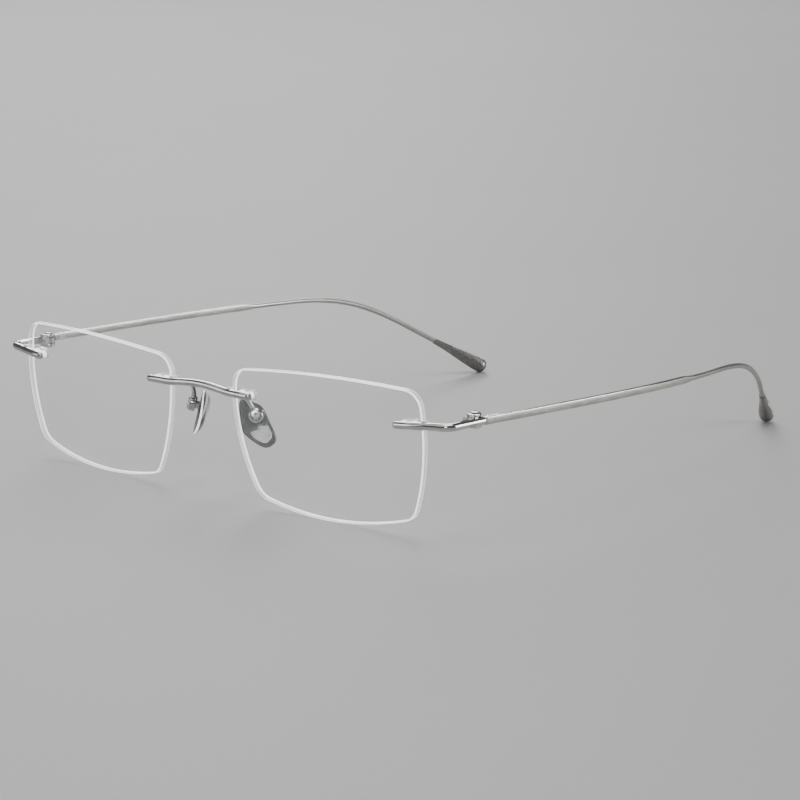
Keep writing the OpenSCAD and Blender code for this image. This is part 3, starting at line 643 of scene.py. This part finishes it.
def makeEndPiece(s):
    spot, h = mountSpots["temporal"], hingeSizes
    turn, tilt = spot["turn"], math.radians(spot["tilt"])
    cornerX = s["overlap"] - pinSizes["inset"] - pinSizes["pitch"] / 2 + s["reach"]
    corner = along(spot["place"], turn, cornerX, barAxisY) + Vector((0, 0, s["dip"]))
    bendAngle = 90 - h["splay"] - turn
    trim = s["bendRadius"] * math.tan(math.radians(bendAngle / 2))
    leg = lambda x: (along(spot["place"], turn, x * math.cos(tilt), barAxisY)
                     + Vector((0, 0, x * math.sin(tilt))))
    forward = Vector((-math.sin(math.radians(h["splay"])), -math.cos(math.radians(h["splay"])), 0))
    inwards = (leg(0) - leg(1)).normalized()
    centre = corner - forward * trim + rightOf(forward) * s["bendRadius"]
    stops = [(seam + forward * s["stopGap"], forward, 0.93),
             (seam + forward * (s["stopGap"] + 0.08), forward, 1)]
    for k in range(s["bendSteps"]):
        heading = Matrix.Rotation(math.radians(-bendAngle * k / s["bendSteps"]), 3, "Z") @ forward
        stops.append((centre - rightOf(heading) * s["bendRadius"], heading, 1))
    stops.append((leg(cornerX - trim), inwards, 1))
    startX = -pinSizes["pitch"] / 2 - pinSizes["inset"]
    stops += reversed(barDome(leg(startX), -inwards, inwards))
    bar = drawRings("endPieceLeft", [barRing(stop) for stop in stops])
    bar.data.materials.append(barSteel)
    parts = [bar, pinSet("endPins", spot), lug(spot, 1, cornerX - s["reach"])]
    half, slotHalf = h["barrel"] / 2, h["middle"] / 2 + h["washerGap"]
    toBar = -h["axis"][0] - barSizes["depth"] / 2 + 0.2
    for low, high in ((-half, -slotHalf), (slotHalf, half)):
        ear = drum("ear", h["knuckle"], low, high, 56, 0.12)
        web = slab("web", (-h["knuckle"] + 0.3, -h["knuckle"] - h["earRoot"], low), (toBar, 0, high), 0.1)
        fuse(ear, web)
        ear.data.materials.clear()
        ear.data.materials.append(barSteel)
        parts.append(place(ear, barrelMatrix()))
    back = slab("back", (-h["knuckle"] + 0.02, -h["knuckle"] - h["block"], -slotHalf - 0.02),
                (toBar, -h["knuckle"] - 0.08, slotHalf + 0.02))
    back.data.materials.append(barSteel)
    parts.append(place(back, barrelMatrix()))
    return settle(join(parts, "endPieceLeft"), 40)


endPiece = makeEndPiece(endSizes)
bothSides(endPiece, "end_piece", "front")
print("end pieces made")


def makeHingeScrew(h):
    top = h["barrel"] / 2 + 0.02
    head = drum("hingeScrewLeft", h["head"], top, top + h["headHigh"], 48, 0.13)
    cutAway(head, slab("slot", (-2, -h["slot"] / 2, top + h["headHigh"] - 0.18), (2, h["slot"] / 2, top + 1)))
    shank = drum("shank", h["screw"], -h["barrel"] / 2 - 0.3, top + 0.1, 32, 0.1)
    screw = join([head, shank], "hingeScrewLeft")
    place(screw, barrelMatrix())
    screw.data.materials.append(screwSteel)
    return settle(screw, smoothAngles["screw"])


bothSides(makeHingeScrew(hingeSizes), "hinge_screw", "front")
print("hinge screws made")

# Temples and tips

templeSizes = {"length": 142.0, "height": 1.7, "thick": 0.9, "wire": 0.6, "flat": 66.0,
               "blend": 5.0, "turnIn": 31.0, "earBend": 29.0, "bendStart": 80.0,
               "bendLength": 38.0, "power": 2.5, "pitch": 1.19973,
               "steps": 142, "corner": 0.2, "tip": 16.5, "socket": 8.0}


def smooth(t):
    c = min(1, max(0, t))
    return c * c * (3 - 2 * c)


def templeHeading(s, run):
    end = s["bendStart"] + s["bendLength"]
    yaw = math.radians((s["turnIn"] + hingeSizes["splay"]) * (min(run, end) / end) ** s["power"])
    pitch = math.radians(s["earBend"] * smooth((run - s["bendStart"]) / s["bendLength"]))
    return Vector((-math.sin(yaw) * math.cos(pitch), math.cos(yaw) * math.cos(pitch), -math.sin(pitch)))


templeStep = templeSizes["length"] / templeSizes["steps"]
templePath = [Vector((0, 0, 0))]
for k in range(templeSizes["steps"]):
    templePath.append(templePath[-1] + templeStep * templeHeading(templeSizes, (k + 0.5) * templeStep))
restPitch = Matrix.Rotation(math.radians(-templeSizes["pitch"]), 3, "X")
templePath = [restPitch @ p for p in templePath]


def templeRing(s, run, size=1.0):
    k = min(int(run / templeStep), s["steps"] - 1)
    point = templePath[k].lerp(templePath[k + 1], run / templeStep - k)
    heading = restPitch @ templeHeading(s, run)
    b = smooth((run - s["flat"]) / s["blend"])
    halfT = (s["thick"] / 2 * (1 - b) + s["wire"] * b) * size
    halfZ = (s["height"] / 2 * (1 - b) + s["wire"] * b) * size
    r = (s["corner"] * (1 - b) + s["wire"] * b) * size
    ring = []
    for signX, signZ, start in ((1, 1, 90), (1, -1, 0), (-1, -1, -90), (-1, 1, 180)):
        for a in (-9, -27, -45, -63, -81):
            t = math.radians(start + a)
            ring.append(setSquare(point, heading, signX * (halfT - r) + r * math.cos(t),
                                  signZ * (halfZ - r) + r * math.sin(t)) * mm)
    return ring


def makeTemple(s):
    last = s["length"] - s["tip"] + s["socket"]
    runs = [0.0, 0.1] + [k * 1.0 for k in range(1, int(last))] + [last]
    temple = drawRings("templeLeft", [templeRing(s, run, 0.9 if run == 0 else 1.0) for run in runs])
    place(temple, hingeMatrix())
    temple.data.materials.append(templeSteel)
    temple.data.materials.append(barSteel)
    ringAt = temple.data.attributes["ring"].data
    seatAt = temple.data.attributes["seat"].data
    flatFaces = ({4, 5}, {14, 15})
    for face in temple.data.polygons:
        seats = {seatAt[v].value for v in face.vertices}
        number = max(ringAt[v].value for v in face.vertices)
        if number > s["flat"] + 2 or len(seats) > 2:
            continue
        if seats not in flatFaces:
            face.material_index = 1
    return settle(temple, smoothAngles["bar"])


temple = makeTemple(templeSizes)
bothSides(temple, "temple", "temple_SIDE_arm")
print("temples made")

tipSizes = {"mouth": 0.78, "thick": 1.9, "ribs": 14, "ribStart": 0.35, "ribDepth": 0.15, "lip": 0.1,
            "sides": 40}
# One rib along the tip: share of its length, share of the groove's depth
ribShape = ((0.0, 0.0), (0.15, 0.0), (0.45, 0.0), (0.6, 0.02), (0.68, 0.7), (0.78, 1.0), (0.88, 0.7),
            (0.95, 0.05))


def makeTip(s):
    t = templeSizes
    heading = restPitch @ templeHeading(t, t["length"])
    start = templePath[-1] - heading * t["tip"]
    swell = t["tip"] - s["thick"]
    radius = lambda x: s["mouth"] + (s["thick"] - s["mouth"]) * smooth(x / swell)
    first = s["ribStart"] * swell
    pitch = (swell - first) / s["ribs"]
    profile = [(0.62, 0.3), (0.64, 0.02), (s["mouth"] - s["lip"], 0.0), (s["mouth"], s["lip"])]
    profile += [(radius(x), x) for x in (0.6, 1.5, 2.5, 3.5, 4.5, 5.5, 6.5) if x < first]
    for k in range(s["ribs"]):
        x = first + k * pitch
        for share, drop in ribShape:
            profile.append((radius(x + share * pitch) - s["ribDepth"] * drop, x + share * pitch))
    profile += [(s["thick"] * math.cos(math.radians(a)), swell + s["thick"] * math.sin(math.radians(a)))
                for a in range(0, 88, 8)]
    profile.append((0.06, t["tip"]))
    rings = []
    for r, x in profile:
        rings.append([setSquare(start + heading * x, heading, r * math.cos(2 * math.pi * k / s["sides"]),
                                r * math.sin(2 * math.pi * k / s["sides"])) * mm for k in range(s["sides"])])
    tip = drawRings("tipLeft", rings)
    place(tip, hingeMatrix())
    tip.data.materials.append(tipFinish)
    return settle(tip, smoothAngles["tip"])


bothSides(makeTip(tipSizes), "temple_tip", "temple_SIDE_arm")
print("tips made")

# Nose pads and their holders

padSizes = {"boxX": 9.7, "boxBack": 7.5, "boxDrop": 6.4, "mountZ": 24.6824,
            "splay": 40.0, "slope": 17.0, "roll": 22.0,
            "length": 12.4, "width": 7.2, "thick": 2.0, "curve": 14.0, "backCurve": 60.0,
            "hang": 1.6, "back": 1.0, "boxRadius": 1.7, "boxDepth": 1.9, "boxCorner": 0.7,
            "slotWide": 1.4, "slotLong": 2.4, "slotFloor": 0.25,
            "axisDepth": 0.95, "screw": 0.35, "screwHead": 0.6, "screwHeadHigh": 0.3,
            "wire": 0.5, "armRootX": 6.2, "armDrop": 0.2, "armLeave": (0.2, 3.6, 0.5),
            "armArrive": (-0.9, -0.7, 2.2), "armStub": 0.5, "armSteps": 40}
# Pad outline as shares of width and length, the nearly straight side first
padShape = ((-0.12, 0.39), (-0.28, 0.31), (-0.34, 0.23), (-0.36, 0.13), (-0.36, -0.07), (-0.36, -0.27),
            (-0.34, -0.38), (-0.25, -0.44), (-0.10, -0.475), (0.06, -0.475), (0.18, -0.435), (0.29, -0.355),
            (0.43, -0.22), (0.54, -0.08), (0.57, 0.03), (0.54, 0.16), (0.47, 0.27), (0.37, 0.39),
            (0.28, 0.48), (0.19, 0.52), (0.09, 0.52), (-0.01, 0.47))


def padMatrix(s):
    nasalY = mountSpots["nasal"]["place"][1]
    spot = Vector((s["boxX"], nasalY + s["boxBack"] + lensSizes["frontY"], s["mountZ"] - s["boxDrop"])) * mm
    return (Matrix.Translation(spot) @ Matrix.Rotation(math.radians(180 - s["splay"]), 4, "Z")
            @ Matrix.Rotation(math.radians(s["slope"]), 4, "Y")
            @ Matrix.Rotation(math.radians(-s["roll"]), 4, "X"))


def roundOff(points, rounds=2):  # each corner is cut a quarter in from both sides
    for _ in range(rounds):
        points = [p.lerp(points[(k + 1) % len(points)], share)
                  for k, p in enumerate(points) for share in (0.25, 0.75)]
    return points


def makePad(s):  # local x faces the nose, z runs up the pad
    outline = roundOff([Vector((s["width"] * a, s["length"] * b - s["hang"])) for a, b in padShape])
    middle = sum(outline, Vector((0, 0))) / len(outline)
    spot = Vector((0, -s["hang"]))
    front = lambda p: s["back"] + s["thick"] - (p.y - spot.y) ** 2 / (2 * s["curve"])
    back = lambda p: s["back"] - (p.y - spot.y) ** 2 / (2 * s["backCurve"])
    loops = []
    faceShares = (0.02, 0.3, 0.55, 0.7, 0.78)
    for face, side, shares in ((back, -1, faceShares), (front, 1, faceShares[::-1])):
        edge = [math.radians(a) for a in (80, 60, 40, 24, 8)]
        for share in shares if side < 0 else ():
            loops.append([(middle + (p - middle) * share, face) for p in outline])
        depth = [(0.82 + 0.18 * math.cos(a), math.sin(a)) for a in (edge if side < 0 else reversed(edge))]
        for share, lift in depth:
            loops.append([(middle + (p - middle) * share, (face, side, lift)) for p in outline])
        for share in shares if side > 0 else ():
            loops.append([(middle + (p - middle) * share, face) for p in outline])

    def lay(p, face):
        if callable(face):
            return Vector((face(p), p.x, p.y)) * mm
        surface, side, lift = face
        half = (front(p) - back(p)) / 2
        return Vector((surface(p) - side * half * (1 - lift) * 0.9, p.x, p.y)) * mm

    pad = drawRings("nosePadLeft", [[lay(p, face) for p, face in loop] for loop in loops])
    cutAway(pad, place(drum("seat", 1.52, 0.3, 1.45, 40), Matrix.Rotation(math.pi / 2, 4, "Y")))
    place(pad, padMatrix(s))
    pad.data.materials.append(padPlasticPaintedSheen)
    pad.data.materials.append(lensEdgePaintedGlow)
    # The middle rim faces take the lens edge material, painted emission included
    ringAt = pad.data.attributes["ring"].data
    for face in pad.data.polygons:
        numbers = [ringAt[v].value for v in face.vertices]
        if max(numbers) - min(numbers) == 1 and min(numbers) + max(numbers) == len(loops) - 1:
            face.material_index = 1
    return settle(pad, smoothAngles["bar"])


bothSides(makePad(padSizes), "nose_pad", "pad_SIDE")
print("nose pads made")


def makePadBox(s):
    r, corner, deep = s["boxRadius"], s["boxCorner"], s["boxDepth"]
    profile = [(0.05, -deep), (0.6, -deep)]
    profile += [(r - corner + corner * math.sin(a), -deep + corner - corner * math.cos(a))
                for a in (math.radians(v) for v in range(0, 91, 9))]
    profile += [(r, -0.15), (r - 0.05, -0.04), (r - 0.15, 0), (0.05, 0)]
    sides = 56
    turns = [2 * math.pi * k / sides for k in range(sides)]
    box = drawRings("padBoxLeft", [[Vector((x, rad * math.cos(a), rad * math.sin(a))) * mm for a in turns]
                                   for rad, x in profile])
    settle(box, smoothAngles["screw"])
    wide, tall = s["slotWide"] / 2, s["slotLong"] / 2
    cutAway(box, slab("slot", (s["slotFloor"] - deep, -wide, -tall), (1, wide, tall)))
    place(box, padMatrix(s))
    box.data.materials.append(wireSteel)
    return settle(box, smoothAngles["screw"])


def makePadScrew(s):
    end = s["boxRadius"] + 0.02
    head = drum("padScrewLeft", s["screwHead"], end, end + s["screwHeadHigh"], 40, 0.1)
    cutAway(head, slab("slot", (-1, -0.07, end + 0.17), (1, 0.07, end + 1)))
    screw = join([head, drum("shank", s["screw"], -s["boxRadius"], end + 0.1, 28, 0.08)], "padScrewLeft")
    place(screw, padMatrix(s) @ Matrix.Translation(Vector((-s["axisDepth"], 0, 0)) * mm)
          @ Matrix.Rotation(math.pi / 2, 4, "X"))
    screw.data.materials.append(screwSteel)
    return settle(screw, smoothAngles["screw"])


def makePadArm(s, sides=24):
    curve = bridgeCurve()
    t = 0.5 * (1 - s["armRootX"] / curve[0].x)
    root = bezier(curve, t)[0] + Vector((0, barSizes["depth"] / 2 + 0.1,
                                         bridgeSizes["rise"] * math.sin(math.pi * t) ** 2 - s["armDrop"]))
    holder = padMatrix(s)
    turn = holder.to_3x3()
    box = holder.translation / mm - Vector((0, lensSizes["frontY"], 0))
    up = turn @ Vector((0, 0, 1))
    foot = box - turn @ Vector((s["axisDepth"], 0, 0)) + up * (s["boxRadius"] + barSizes["seatGap"])
    knee = foot + up * s["armStub"]
    route = [root, root + Vector(s["armLeave"]), knee + Vector(s["armArrive"]), knee]
    stops = [bezier(route, k / s["armSteps"]) for k in range(s["armSteps"] + 1)]
    stops[0] = (root, Vector((0, 1, 0)))
    stops.append((foot, -up))
    shift = Vector((0, lensSizes["frontY"], 0))
    rings = []
    for spot, heading in stops:
        rings.append([(setSquare(spot + shift, heading, s["wire"] * math.cos(2 * math.pi * k / sides),
                                 s["wire"] * math.sin(2 * math.pi * k / sides))) * mm for k in range(sides)])
    arm = drawRings("padArmLeft", rings)
    collar = drum("collar", s["wire"] + 0.16, 0.03, 0.42, 40, 0.14)
    place(collar, Matrix.Translation((foot + shift) * mm) @ up.to_track_quat("Z", "Y").to_matrix().to_4x4())
    arm = join([arm, collar], "padArmLeft")
    arm.data.materials.append(wireSteel)
    return settle(arm, smoothAngles["bar"])


bothSides(makePadBox(padSizes), "pad_box", "front")
bothSides(makePadScrew(padSizes), "pad_screw", "front")
bothSides(makePadArm(padSizes), "pad_arm", "front")
print("pad holders made")

# CAD nodes that stay, with their own finishes

kept = {"nasal_sleeve": sleeveFinish, "temporal_sleeve": sleeveFinish, "hinge_washers": washerFinish,
        "hinge_leaf": leafSteel, "hinge_rivet": screwSteel, "pad_core": wireSteel}
for node, finish in kept.items():
    for side in ("left", "right"):
        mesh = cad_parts[node + "_" + side].data
        mesh.materials.clear()
        mesh.materials.append(finish)
print("kept parts finished")

# Floor, light and camera

stageSizes = {"floor": 40.0, "key": (0.1, 0.4, 2.4), "keySize": 1.3, "keyPower": 22.0,
              "evenPower": 0.75, "evenAngle": 70.0, "evenTilt": (12.0, -8.0, 0.0),
              "rim": (-1.35, 1.05, 0.9), "rimSize": 0.9, "rimPower": 18.0,
              "front": (-0.85, -0.95, 0.36), "frontSize": 0.6, "frontPower": 2.5,
              "side": (0.95, 0.75, 0.36), "sideSize": 0.6, "sidePower": 9.0,
              "fill": (0.9, -0.9, 0.75), "fillSize": 0.35, "fillPower": 4.0, "sky": (0.14, 0.14, 0.145, 1)}


def paleFloor(s):
    floor = begin("floor", bpy.ops.mesh.primitive_plane_add, size=s["floor"])
    finish = Finish("paleFloor", Metallic=0.0)
    speck = finish.noise(900.0, detail=3)
    wash = finish.noise(6.0, detail=2)
    finish.relief(speck, 0.00002)
    shade = finish.surface(Base_Color=finish.between((0.36, 0.36, 0.357, 1), (0.40, 0.40, 0.396, 1), wash),
                           Roughness=0.5 + 0.2 * speck)
    floor.data.materials.append(shade)


def softbox(name, spot, size, power, aim=(0, 0, 0.015)):
    bpy.ops.object.light_add(type="AREA", location=spot)
    lamp = bpy.context.object
    lamp.name = name
    lamp.data.shape, lamp.data.size, lamp.data.energy = "SQUARE", size, power
    lamp.rotation_euler = (Vector(aim) - Vector(spot)).to_track_quat("-Z", "Y").to_euler()


paleFloor(stageSizes)
for name in ("key", "rim", "front", "side", "fill"):
    softbox(name + "Light", stageSizes[name], stageSizes[name + "Size"], stageSizes[name + "Power"])
bpy.ops.object.light_add(type="SUN", rotation=[math.radians(a) for a in stageSizes["evenTilt"]])
evenLight = bpy.context.object
evenLight.name = "evenLight"
evenLight.data.energy, evenLight.data.angle = stageSizes["evenPower"], math.radians(stageSizes["evenAngle"])
world = bpy.data.worlds.new("softRoom")
bpy.context.scene.world = world
world.use_nodes = True
world.node_tree.nodes["Background"].inputs["Color"].default_value = stageSizes["sky"]

cameraSizes = {"place": (0.480325, -0.512650, 0.157770), "right": (0.725573, 0.688099, -0.007973),
               "up": (-0.135529, 0.154251, 0.978692), "back": (0.674667, -0.709033, 0.205178),
               "lens": 135.0, "sensor": 36.0}
bpy.ops.object.camera_add(location=cameraSizes["place"])
camera = bpy.context.object
camera.data.lens, camera.data.sensor_width = cameraSizes["lens"], cameraSizes["sensor"]
camera.data.clip_start, camera.data.clip_end = 0.01, 20
axes = Matrix((cameraSizes["right"], cameraSizes["up"], cameraSizes["back"])).transposed()
camera.rotation_euler = axes.to_euler()
bpy.context.scene.camera = camera
print("stage ready")
